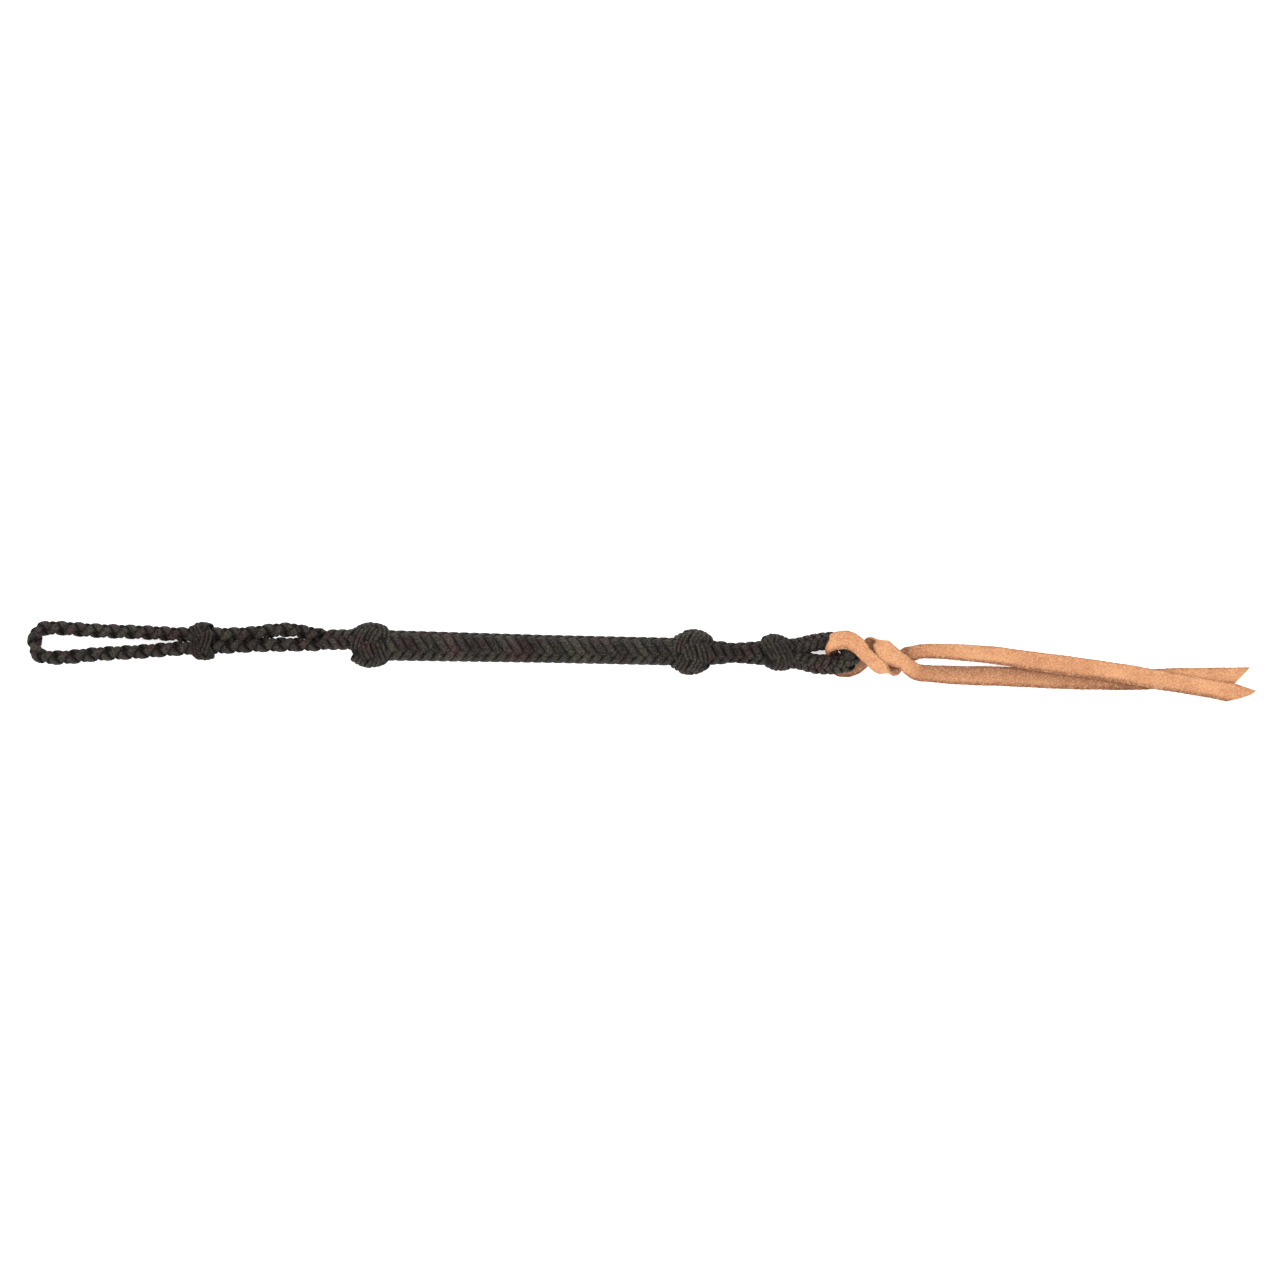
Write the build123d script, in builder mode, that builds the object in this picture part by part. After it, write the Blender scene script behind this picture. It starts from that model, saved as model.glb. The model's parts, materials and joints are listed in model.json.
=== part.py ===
"""Braided nylon quirt with a leather popper, lying on a flat surface.

Millimetres. +X runs along the handle from the wrist loop to the popper's tips, +Z is up. The origin is the
middle of the overall box, on the surface that the quirt lies on.
"""

from build123d import *

import os

os.makedirs("parts", exist_ok=True)

# Handle. Everything else is placed from the two faces of its knots.
handle_y = 4.4  # the handle's centre line, beside the middle of the overall width
knot_radius = 14.4  # the heel and tip knots carry the handle, so this is also its height
grip_radius = 8.9
core_radius = 4.4
heel_knot_left, heel_knot_right = -180.4, -153.7
tip_knot_left, tip_knot_right = 19.6, 44.4
knot_end_radius = 9.6
whipping_thickness = 0.8
foundation_end_radius = 10.6
foundation_radius = 12.2
foundation_inset = 3.4  # from each face of a knot to its foundation
whipping_inset = 6.0  # and to its whipping
plait_inset = 1.5  # and to the end of the grip's plait
core_inset = 2.0  # from the end of the plait to the end of its core

# Soft ends bend in hinges: a round nose stands this far off the piece that it turns against.
hinge_gap = 0.35
floor_clearance = 0.1

# Wrist end: a neck, then a loop with two arms. It slopes down until the loop's far end lies on the surface.
neck_radius = 6.8
neck_length = 10.5
wrist_nose_radius = 6.6
wrist_side = 2.9  # the neck leaves the heel knot this far beside the handle's centre line
wrist_plan_slope = 0.033  # and the loop comes back across it, sideways per millimetre
loop_end_x = -376.7  # the arms' centre line at the loop's far end
arm_radius = 4.3
arm_offset = 4.5  # of each arm's centre line, where the arms lie side by side
arms_start_at = 0.7  # from the loop's hinge, inside its round nose
arms_part_at = 87.1  # from the loop's hinge, where the arms start to spread
loop_half_width = 9.0
loop_shoulder = 11.0  # from the widest place to the far end
loop_end_half = 4.5
loop_bend_radii = [100.0, 15.0, 6.0, 6.0, 15.0, 100.0]

# Keeper, an oval knot round both arms.
keeper_at = 67.1  # from the loop's hinge
keeper_length = 15.5
keeper_width, keeper_height = 23.6, 16.6
keeper_clearance = 0.35
keeper_rounding = 2.0

# Lash end: a neck, the popper knot and the eye. It slopes down until the popper lies on the surface.
lash_neck_radius = 7.2
lash_plan_slope = 0.015
popper_knot_at = 32.6  # from the lash hinge
popper_knot_length = 21.0
popper_knot_radius = 11.2
popper_knot_end_radius = 7.6
popper_foundation_length = 14.4
popper_foundation_radius = 9.4
popper_foundation_end_radius = 8.0
popper_whipping_length = 8.0
eye_cord_radius = 5.4
eye_half_width = 8.2  # of the eye's centre line
eye_bend_radius = 8.1
eye_throat_half = 4.6
eye_throat_bend_radius = 30.0
eye_straight = 14.0  # from the widest place to the far end
eye_apex_at = 79.9  # the eye's centre line at its far end, from the lash hinge
eye_apex_height = 8.45

# Popper: one leather strap, folded round the eye, crossed twice on itself and left as two tails.
strap_width = 12.0
strap_thickness = 2.4
fold_width = 3.2
fold_inner_radius = 6.2
fold_outer_radius = 8.35
band_width = 7.6
band_low, band_high = 0.2, 5.9  # undersides of the two layers where the bands cross
band_thickness = 5.2
tail_root_x = 176.0
front_tail_side, back_tail_side = 3.4, -9.4  # where the tails start, beside the handle's centre line
tail_lift = strap_thickness + 0.4  # the front tail lies on the back one
back_root_height = 7.2
back_lands_at = 214.0  # X where the back tail comes down on to the surface

handle_z = knot_radius
wrist_hinge = Vector(heel_knot_left - hinge_gap - neck_radius, handle_y + wrist_side, handle_z)
lash_hinge = Vector(tip_knot_right + hinge_gap + lash_neck_radius, handle_y, handle_z)


def line_towards(start, direction):
    """A line as a plane: x runs along it, y is level and across it."""
    along_line = direction.normalized()
    across = Vector(0, 0, 1).cross(along_line).normalized()
    return Plane(start, x_dir=along_line, z_dir=along_line.cross(across))


def moved_along(line, distance):
    """The same line with its origin moved along it."""
    return Plane(line.from_local_coords((distance, 0, 0)), x_dir=line.x_dir, z_dir=line.z_dir)


def rod(line, start, end, radius):
    """A round rod on a line."""
    with BuildPart() as solid:
        with BuildSketch(line):
            with Locations((start, 0)):
                Rectangle(end - start, radius, align=(Align.MIN, Align.MIN))
        revolve(axis=Axis(line.origin, line.x_dir))
    return solid.part


def barrel(line, length, end_radius, belly_radius):
    """A solid barrel centred on the line's origin."""
    half = length / 2
    with BuildPart() as solid:
        with BuildSketch(line):
            with BuildLine():
                Polyline((-half, end_radius), (-half, 0), (half, 0), (half, end_radius))
                ThreePointArc((-half, end_radius), (0, belly_radius), (half, end_radius))
            make_face()
        revolve(axis=Axis(line.origin, line.x_dir))
    return solid.part


def round_nosed_neck(line, length, radius):
    """A cord that turns about the line's origin, with a round nose there."""
    with BuildPart() as solid:
        with BuildSketch(line):
            with BuildLine():
                CenterArc((0, 0), radius, 90, 90)
                Polyline((-radius, 0), (length, 0), (length, radius), (0, radius))
            make_face()
        revolve(axis=Axis(line.origin, line.x_dir))
    return solid.part


def tube_along(line, points, radii, radius):
    """A round cord along a rounded path that is drawn on the line's plane."""
    with BuildPart() as solid:
        with BuildLine(line):
            path = FilletPolyline(*points, radius=radii)
        with BuildSketch(Plane(path @ 0, z_dir=path % 0)):
            Circle(radius)
        sweep(path=path)
    return solid.part


def mirrored_path(points):
    """A path up one side of a loop and back down the other."""
    return points + [(x, -y) for x, y in reversed(points)]


def save(piece, name):
    """Label a finished piece and write it."""
    piece.part.label = name
    export_step(piece.part, f"parts/{name}.step")


# ---------------------------------------------------------------------------------------------- handle

handle_line = line_towards(Vector(0, handle_y, handle_z), Vector(1, 0, 0))
plait_left = heel_knot_left + plait_inset
plait_right = tip_knot_right - plait_inset

with BuildPart() as handle_core:
    add(rod(handle_line, plait_left + core_inset, plait_right - core_inset, core_radius))
save(handle_core, "handle_core")

with BuildPart() as handle_braid:
    add(rod(handle_line, plait_left, plait_right, grip_radius))
    add(handle_core.part, mode=Mode.SUBTRACT)
save(handle_braid, "handle_braid")

knot_faces = {
    "heel": (heel_knot_left, heel_knot_right),
    "tip": (tip_knot_left, tip_knot_right),
}
for end, (left, right) in knot_faces.items():
    knot_length = right - left
    knot_line = moved_along(handle_line, (left + right) / 2)
    whipping_half = knot_length / 2 - whipping_inset
    with BuildPart() as whipping:
        add(rod(knot_line, -whipping_half, whipping_half, grip_radius + whipping_thickness))
        add(rod(knot_line, -knot_length, knot_length, grip_radius), mode=Mode.SUBTRACT)
    save(whipping, f"{end}_whipping")

    foundation_length = knot_length - 2 * foundation_inset
    with BuildPart() as foundation:
        add(barrel(knot_line, foundation_length, foundation_end_radius, foundation_radius))
        add(rod(knot_line, -knot_length, knot_length, grip_radius), mode=Mode.SUBTRACT)
        add(whipping.part, mode=Mode.SUBTRACT)
    save(foundation, f"{end}_knot_foundation")

    foundation_barrel = barrel(knot_line, foundation_length, foundation_end_radius, foundation_radius)
    with BuildPart() as knot:
        add(barrel(knot_line, knot_length, knot_end_radius, knot_radius))
        add(foundation_barrel, mode=Mode.SUBTRACT)
        add(handle_braid.part, mode=Mode.SUBTRACT)
        add(handle_core.part, mode=Mode.SUBTRACT)
    save(knot, f"{end}_knot")

# ------------------------------------------------------------------------------------------- wrist end

wrist_run = loop_end_x - wrist_hinge.X
wrist_drop = arm_radius + floor_clearance - wrist_hinge.Z
wrist_line = line_towards(wrist_hinge, Vector(wrist_run, wrist_run * wrist_plan_slope, wrist_drop))

with BuildPart() as wrist_neck_braid:
    add(round_nosed_neck(wrist_line, neck_length, neck_radius))
save(wrist_neck_braid, "wrist_neck_braid")

loop_line = moved_along(wrist_line, neck_length + hinge_gap + wrist_nose_radius)
loop_length = (loop_end_x - loop_line.origin.X) / loop_line.x_dir.X
loop_side = [
    (arms_start_at, arm_offset),
    (arms_part_at, arm_offset),
    (loop_length - loop_shoulder, loop_half_width),
    (loop_length, loop_end_half),
]

with BuildPart() as wrist_loop_braid:
    add(tube_along(loop_line, mirrored_path(loop_side), loop_bend_radii, arm_radius))
    add(round_nosed_neck(loop_line, 2 * arm_radius, wrist_nose_radius))
save(wrist_loop_braid, "wrist_loop_braid")

keeper_line = moved_along(loop_line, keeper_at)
keeper_section = Plane(keeper_line.origin, x_dir=keeper_line.y_dir, z_dir=keeper_line.x_dir)

with BuildPart() as keeper_knot:
    with BuildSketch(keeper_section):
        Ellipse(keeper_width / 2, keeper_height / 2)
    extrude(amount=keeper_length / 2, both=True)
    fillet(keeper_knot.edges().filter_by(GeomType.ELLIPSE), keeper_rounding)
    with BuildSketch(keeper_section):
        SlotCenterToCenter(2 * arm_offset, 2 * (arm_radius + keeper_clearance))
    extrude(amount=keeper_length, both=True, mode=Mode.SUBTRACT)
save(keeper_knot, "keeper_knot")

# -------------------------------------------------------------------------------------------- lash end

lash_drop = (eye_apex_height - lash_hinge.Z) / eye_apex_at
lash_line = line_towards(lash_hinge, Vector(1, lash_plan_slope, lash_drop))
popper_knot_line = moved_along(lash_line, popper_knot_at)
knot_near = popper_knot_at - popper_knot_length / 2
knot_far = popper_knot_at + popper_knot_length / 2

with BuildPart() as lash_neck_braid:
    add(round_nosed_neck(lash_line, popper_knot_at, lash_neck_radius))
save(lash_neck_braid, "lash_neck_braid")

with BuildPart() as eye_whipping:
    add(rod(popper_knot_line, 0, popper_whipping_length / 2, lash_neck_radius))
save(eye_whipping, "eye_whipping")

foundation_barrel = barrel(
    popper_knot_line, popper_foundation_length, popper_foundation_end_radius, popper_foundation_radius
)
with BuildPart() as popper_knot_foundation:
    add(foundation_barrel)
    add(rod(lash_line, 0, popper_knot_at + popper_knot_length, lash_neck_radius), mode=Mode.SUBTRACT)
save(popper_knot_foundation, "popper_knot_foundation")

eye_side = [
    (knot_far, eye_throat_half),
    (eye_apex_at - eye_straight, eye_half_width),
    (eye_apex_at, eye_half_width),
]
eye_bend_radii = [eye_throat_bend_radius, eye_bend_radius, eye_bend_radius, eye_throat_bend_radius]

with BuildPart() as popper_eye_braid:
    add(tube_along(lash_line, mirrored_path(eye_side), eye_bend_radii, eye_cord_radius))
save(popper_eye_braid, "popper_eye_braid")

with BuildPart() as popper_knot:
    add(barrel(popper_knot_line, popper_knot_length, popper_knot_end_radius, popper_knot_radius))
    add(popper_knot_foundation.part, mode=Mode.SUBTRACT)
    add(lash_neck_braid.part, mode=Mode.SUBTRACT)
    add(eye_whipping.part, mode=Mode.SUBTRACT)
    add(popper_eye_braid.part, mode=Mode.SUBTRACT)
save(popper_knot, "popper_knot")

# ---------------------------------------------------------------------------------------------- popper

eye_apex_line = moved_along(lash_line, eye_apex_at)
fold_plane = Plane(eye_apex_line.origin, x_dir=eye_apex_line.y_dir, z_dir=eye_apex_line.z_dir)

with BuildPart() as popper_fold:
    with BuildSketch(fold_plane):
        with Locations((0, (fold_inner_radius + fold_outer_radius) / 2)):
            Rectangle(fold_width, fold_outer_radius - fold_inner_radius)
    revolve(axis=Axis(fold_plane.origin, fold_plane.x_dir))
save(popper_fold, "popper_fold")

# Each band is two layers that meet where it turns back: one passes over the other band, one under it.
first_turn = (157.0, handle_y - 8.0)
second_turn = (156.0, handle_y + 5.0)
second_crossing = (164.5, handle_y - 2.0)
band_over = {
    "high": [(143.6, handle_y + 5.0), (150.0, handle_y - 2.0), first_turn],
    "low": [first_turn, second_crossing, (170.6, handle_y + 2.4)],
}
band_under = {
    "high": [second_turn, second_crossing, (170.6, handle_y - 6.6)],
    "low": [(143.6, handle_y - 5.0), (149.0, handle_y), second_turn],
}
bands = {
    "popper_band_over": (band_over, first_turn),
    "popper_band_under": (band_under, second_turn),
}
for name, (layers, turn) in bands.items():
    with BuildPart() as band:
        for level, route in layers.items():
            with BuildSketch(Plane.XY.offset(band_low if level == "low" else band_high)):
                with BuildLine():
                    Polyline(*route)
                trace(line_width=band_width)
            extrude(amount=band_thickness)
        with BuildSketch(Plane.XY.offset(band_low)):
            with Locations(turn):
                Circle(band_width / 2)
        extrude(amount=band_high + band_thickness - band_low)
    save(band, name)

# Tails: a ribbon of one width along its centre line, cut to a point at the end.
front_bends = [(198, 3.3), (248, -1.3), (298, -7.0), (347, -14.8), (366, -18.2), (384, -22.4)]
front_centre = [(tail_root_x, front_tail_side)] + front_bends
front_tip = [(366, -12.3), (381, -17.4), (367, -24.2)]
back_bends = [(223, -10.9), (285, -11.8), (335, -9.3), (384, -6.9)]
back_centre = [(tail_root_x, back_tail_side)] + back_bends
back_tip = [(360, -0.5), (379, -2.2), (365, -14.5)]
past_tips = 400.0
well_aside = 50.0  # sideways, past every edge of the tails


def tail(centre, tip, side_line):
    """A strap tail: its plan outline, cut to the shape of its side view."""
    upper, point, lower = tip
    with BuildPart() as solid:
        with BuildSketch(Plane.XY.move(Location((0, handle_y, 0)))):
            with BuildLine():
                Spline(*centre)
            trace(line_width=strap_width)
            with BuildLine():
                Polyline(upper, (upper[0], well_aside), (past_tips, well_aside))
                Polyline((past_tips, well_aside), (past_tips, -well_aside), (lower[0], -well_aside))
                Polyline((lower[0], -well_aside), lower, point, upper)
            make_face(mode=Mode.SUBTRACT)
        extrude(amount=2 * handle_z)
        with BuildSketch(Plane.XZ.offset(-well_aside)):
            trace(side_line, line_width=strap_thickness)
        extrude(amount=2 * well_aside, mode=Mode.INTERSECT)
    return solid.part


front_height = tail_lift + strap_thickness / 2
with BuildLine() as front_side:
    Line((tail_root_x, front_height), (past_tips, front_height))
with BuildPart() as popper_front_tail:
    add(tail(front_centre, front_tip, front_side.line))
save(popper_front_tail, "popper_front_tail")

back_landing = (back_lands_at, strap_thickness / 2)
with BuildLine() as back_side:
    Spline((tail_root_x, back_root_height), back_landing, tangents=[(1, -0.3), (1, 0)])
    Line(back_landing, (past_tips, strap_thickness / 2))
with BuildPart() as popper_back_tail:
    add(tail(back_centre, back_tip, back_side.line))
save(popper_back_tail, "popper_back_tail")
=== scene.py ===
"""Visual model of a plaited nylon quirt with a leather popper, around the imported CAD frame. Metres."""
import json
import math

import bpy
import numpy as np
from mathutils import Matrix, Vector


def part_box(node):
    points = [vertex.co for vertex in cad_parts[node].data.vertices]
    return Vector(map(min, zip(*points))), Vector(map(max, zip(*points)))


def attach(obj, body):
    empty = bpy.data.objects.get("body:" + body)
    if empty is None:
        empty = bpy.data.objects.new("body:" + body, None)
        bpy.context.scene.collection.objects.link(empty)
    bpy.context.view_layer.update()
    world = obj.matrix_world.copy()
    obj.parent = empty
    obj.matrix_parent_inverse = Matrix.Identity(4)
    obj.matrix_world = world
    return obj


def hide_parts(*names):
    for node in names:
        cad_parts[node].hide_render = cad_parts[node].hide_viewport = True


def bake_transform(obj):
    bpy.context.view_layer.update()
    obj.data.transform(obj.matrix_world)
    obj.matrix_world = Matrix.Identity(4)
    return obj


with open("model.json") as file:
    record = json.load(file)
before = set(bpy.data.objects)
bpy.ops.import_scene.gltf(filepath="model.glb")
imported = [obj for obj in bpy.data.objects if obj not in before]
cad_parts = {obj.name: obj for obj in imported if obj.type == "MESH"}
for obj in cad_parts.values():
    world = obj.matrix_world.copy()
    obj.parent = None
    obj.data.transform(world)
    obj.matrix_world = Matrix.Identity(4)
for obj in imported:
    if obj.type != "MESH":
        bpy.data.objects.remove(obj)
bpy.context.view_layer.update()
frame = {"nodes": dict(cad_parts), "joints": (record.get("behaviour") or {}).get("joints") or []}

rng = np.random.default_rng(7)
MM = 0.001
SAMPLE_MM = 0.5  # from one sample of a cord's middle line to the next
SAMPLE = SAMPLE_MM * MM
STRAND_STEP = 1.0 * MM  # from one ring of a strand's tube to the next

# ------------------------------------------------------------------------------------ places from the frame

joints = {j["name"]: j for j in frame["joints"]}


def unit(v):
    v = np.asarray(v, float)
    return v / np.maximum(np.linalg.norm(v, axis=-1, keepdims=True), 1e-12)


def joint_at(name):
    return np.array(joints[name]["pos_m"], float)


def box(node):
    low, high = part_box(node)
    return np.array(low), np.array(high)


class Line:
    """A straight line with an up direction: point(along, side, up) gives a place beside it, in metres."""

    def __init__(self, start, along, up):
        self.start, self.along = np.asarray(start, float), unit(along)
        self.side = unit(np.cross(up, self.along))
        self.up = np.cross(self.along, self.side)

    def point(self, along, side=0.0, up=0.0):
        along, side, up = np.broadcast_arrays(along, side, up)
        return (self.start + along[..., None] * self.along
                + side[..., None] * self.side + up[..., None] * self.up)


grip_low, grip_high = box("handle_braid")
grip_centre = (grip_low + grip_high) / 2
grip_radius = (grip_high[2] - grip_low[2]) / 2
handle = Line((0, grip_centre[1], grip_centre[2]), (1, 0, 0), (0, 0, 1))
heel_low, heel_high = box("heel_knot")
tip_low, tip_high = box("tip_knot")
keeper_low, keeper_high = box("keeper_knot")
popper_low, popper_high = box("popper_knot")


def line_between(first, second, up_joint):
    return Line(joint_at(first), joint_at(second) - joint_at(first), joints[up_joint]["axis"])


wrist = line_between("wrist_droop", "wrist_sway", "wrist_sway")
loop_line = Line(joint_at("wrist_sway"), wrist.along, joints["wrist_sway"]["axis"])
lash = line_between("lash_droop", "popper_lift", "popper_swing")

# ------------------------------------------------------------------------------------------- mesh building


def line_through(points, step):
    """A smooth line through the points, evenly spaced."""
    p = np.asarray(points, float)
    p = np.vstack([2 * p[0] - p[1], p, 2 * p[-1] - p[-2]])
    out = []
    for a, b, c, d in zip(p[:-3], p[1:-2], p[2:-1], p[3:]):
        t = np.linspace(0, 1, 24, endpoint=False)[:, None]
        out.append(0.5 * (
            2 * b + (c - a) * t + (2 * a - 5 * b + 4 * c - d) * t**2 + (3 * b - a - 3 * c + d) * t**3
        ))
    return evenly(np.vstack(out + [p[-2:-1]]), step)


def distances(line):
    return np.concatenate([[0], np.cumsum(np.linalg.norm(np.diff(line[:, :3], axis=0), axis=1))])


def evenly(line, step):
    along = distances(line)
    at = np.linspace(0, along[-1], max(4, int(round(along[-1] / step)) + 1))
    return np.stack([np.interp(at, along, line[:, k]) for k in range(line.shape[1])], axis=1)


def tangents(line):
    return unit(np.gradient(line[:, :3], axis=0))


def placed(name, data):
    """A new object with this data, in the scene."""
    holder = bpy.data.objects.new(name, data)
    bpy.context.scene.collection.objects.link(holder)
    return holder


def make_piece(name, vertices, faces, uvs, attributes):
    """A smooth mesh object from its vertices, its faces, one UV for each face corner and point attributes."""
    mesh = bpy.data.meshes.new(name)
    mesh.from_pydata(vertices.tolist(), [], faces)
    mesh.uv_layers.new(name="cord").data.foreach_set("uv", np.asarray(uvs, np.float32).ravel())
    for key, values in attributes.items():
        layer = mesh.attributes.new(key, "FLOAT", "POINT")
        layer.data.foreach_set("value", np.asarray(values, np.float32))
    mesh.polygons.foreach_set("use_smooth", np.full(len(mesh.polygons), True))
    mesh.update()
    return placed(name, mesh)


SQUARENESS = 2.6  # of a strand's section: 2 is an oval, and more is squarer


def tube(line, outward, width, thickness, sides, closed=False):
    """A flattened cord along a line, its flat side facing outward. Returns its vertices, faces, UVs in metres and,
    for each vertex, how far it faces outward (1) or inward (-1)."""
    n = len(line)
    if closed:
        t = unit(np.roll(line, -1, axis=0) - np.roll(line, 1, axis=0))
    else:
        t = tangents(line)
    side = unit(np.cross(outward, t))
    out = np.cross(t, side)
    angle = np.linspace(0, 2 * np.pi, sides, endpoint=False)
    c, s = np.cos(angle), np.sin(angle)
    c, s = (np.sign(v) * np.abs(v) ** (2 / SQUARENESS) for v in (c, s))
    c, s = c[None, :, None], s[None, :, None]
    width = np.broadcast_to(width, n)[:, None, None]
    thickness = np.broadcast_to(thickness, n)[:, None, None]
    ring = line[:, None] + width / 2 * c * side[:, None] + thickness / 2 * s * out[:, None]
    vertices = ring.reshape(-1, 3)
    crest = np.tile(np.sin(angle), n)
    along = distances(np.vstack([line, line[:1]]) if closed else line)
    girth = np.pi * (float(width.mean()) + float(thickness.mean())) / 2
    faces, uvs = [], []
    for i in range(n if closed else n - 1):
        j = (i + 1) % n
        for k in range(sides):
            m = (k + 1) % sides
            faces.append((i * sides + k, j * sides + k, j * sides + m, i * sides + m))
            v0, v1 = girth * k / sides, girth * (k + 1) / sides
            uvs += [(along[i], v0), (along[i + 1], v0), (along[i + 1], v1), (along[i], v1)]
    if not closed:
        for centre, first, order in ((line[0], 0, 1), (line[-1], (n - 1) * sides, -1)):
            hub = len(vertices)
            vertices = np.vstack([vertices, centre])
            crest = np.append(crest, 0.0)
            for k in range(sides):
                rim = (first + k, first + (k + 1) % sides)[::order]
                faces.append((hub, *rim))
                uvs += [(along[0], 0)] * 3
    return vertices, faces, uvs, crest


def joined(name, tubes, tones=None):
    """One piece from several tubes, with a shade from 0 to 1 for each of them, drawn if none is given."""
    vertices, faces, uvs, shade, crest, count = [], [], [], [], [], 0
    tones = rng.random(len(tubes)) if tones is None else tones
    for (v, f, uv, facing), tone in zip(tubes, tones):
        faces += [tuple(i + count for i in face) for face in f]
        vertices.append(v)
        uvs += uv
        shade.append(np.full(len(v), tone))
        crest.append(facing)
        count += len(v)
    attributes = {"strand": np.concatenate(shade), "crest": np.concatenate(crest)}
    return make_piece(name, np.vstack(vertices), faces, uvs, attributes)


# -------------------------------------------------------------------------------------------------- plaits


HARDNESS = 2.2  # how suddenly a strand goes from over to under its neighbour


def over_under(wave):
    """A soft switch from a wave: +1 where a strand lies on top and -1 where it is tucked under."""
    return np.tanh(HARDNESS * wave) / math.tanh(HARDNESS)


def plait(line, up, strands, radius, pitch, width, thickness, lift, seam, first_turn):
    """The strands of a round plait along a line: each one's middle line, outward directions, width and thickness.
    Half of the strands wind one way and half the other. radius is the plait's outer one, lift is how far a strand
    rises and sinks, seam is the angle of the line between two of the plait's four columns, and first_turn is the
    angle of the first strand at the start."""
    t = tangents(line)
    side = unit(np.cross(up, t))
    top = np.cross(t, side)
    along = distances(line)
    radius = np.broadcast_to(radius, len(line))
    out = []
    for way in (1, -1):
        for k in range(strands // 2):
            angle = first_turn + way * 2 * np.pi * along / pitch + 4 * np.pi * k / strands
            outward = np.cos(angle)[:, None] * top + np.sin(angle)[:, None] * side
            r = radius - thickness / 2 - lift - way * lift * over_under(np.sin(2 * (angle - seam)))
            out.append((line + r[:, None] * outward, outward, width, thickness))
    return out


def tubes_of(strands):
    """A tube for each strand, resampled evenly along it."""
    out = []
    for line, outward, width, thickness in strands:
        both = evenly(np.hstack([line, outward * 1e-4]), STRAND_STEP)
        out.append(tube(both[:, :3], unit(both[:, 3:]), width, thickness, sides=12))
    return out


def part_of(strands, first, last=None):
    """The same strands from one sample to another."""
    return [(line[first:last], outward[first:last], *size) for line, outward, *size in strands]


# ------------------------------------------------------------------------------------------- Turk's heads


KNOT_PASSES = 3  # cords that lie side by side
PASS_SPACING = 0.98  # from one cord's middle to the next, in cord widths
DRAWN_WIDTH = 0.99  # of a knot's cord, in cord widths
KNOT_LIFT = 0.46  # half of the way between an upper and a lower cord, in cord thicknesses
BIGHT_ROUNDNESS = 0.85  # 0 is a sine along the knot, and 1 a zigzag
STEPS_PER_LEAD = 120


def turks_head(line, at, half, radii, leads, bights, width, thickness, turn, slant, oval=(1.0, 1.0)):
    """Tubes of a Turk's head on a barrel: one closed cord, followed round by the other passes. half is half of the
    knot's length, and radii are its outer radii at its start, belly and end. Crossings alternate over and under.
    oval stretches the knot sideways and upwards, and slant pulls one side of it along the line."""
    steps = STEPS_PER_LEAD * leads
    tau = np.linspace(0, 2 * np.pi, steps, endpoint=False)
    reach = half - KNOT_PASSES * width / 2
    crossings = np.array(sorted({
        round(math.pi * (k / leads + m / bights) % (2 * math.pi), 9)
        for k in range(1, 2 * leads) if k % leads for m in range(2 * bights)
    }))
    ring = np.concatenate([crossings, [crossings[0] + 2 * math.pi]])
    t = np.where(tau < crossings[0], tau + 2 * math.pi, tau)
    i = np.clip(np.searchsorted(ring, t, side="right") - 1, 0, len(crossings) - 1)
    share = (t - ring[i]) / (ring[i + 1] - ring[i])
    lift = np.where(i % 2 == 0, 1, -1) * over_under(np.cos(np.pi * share))

    def profile(x):
        end = np.where(x < 0, radii[0], radii[2])
        return radii[1] - (radii[1] - end) * np.abs(x / half) ** 2.0

    wave = np.arcsin(BIGHT_ROUNDNESS * np.cos(bights * tau)) / math.asin(BIGHT_ROUNDNESS)
    phi, x = turn + leads * tau, reach * wave
    girth = profile(x).mean()
    dphi = girth * np.gradient(phi)
    dx = np.gradient(np.concatenate([x[-1:], x, x[:1]]))[1:-1]
    length = np.hypot(dphi, dx)
    tubes = []
    for j in range(KNOT_PASSES):
        off = (j - (KNOT_PASSES - 1) / 2) * width * PASS_SPACING
        xo, po = x + off * dphi / length, phi - off * dx / length / profile(x)
        slope = (profile(xo + 1e-5) - profile(xo - 1e-5)) / 2e-5
        radial = np.cos(po)[:, None] * line.up * oval[1] + np.sin(po)[:, None] * line.side * oval[0]
        outward = unit(
            np.cos(po)[:, None] * line.up / oval[1] + np.sin(po)[:, None] * line.side / oval[0]
            - slope[:, None] * line.along
        )
        depth = thickness * (0.5 + KNOT_LIFT * (1 - lift))
        aside = profile(xo) * np.sin(po) * oval[0]
        core = line.point(at + xo + slant * aside) + profile(xo)[:, None] * radial - outward * depth[:, None]
        tubes.append(tube(core, outward, width * DRAWN_WIDTH, thickness, sides=10, closed=True))
    return tubes


# ------------------------------------------------------------------------------------------------ materials


def rgba(colour, gain=1.0):
    return (*(c * gain for c in colour), 1)


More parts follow.
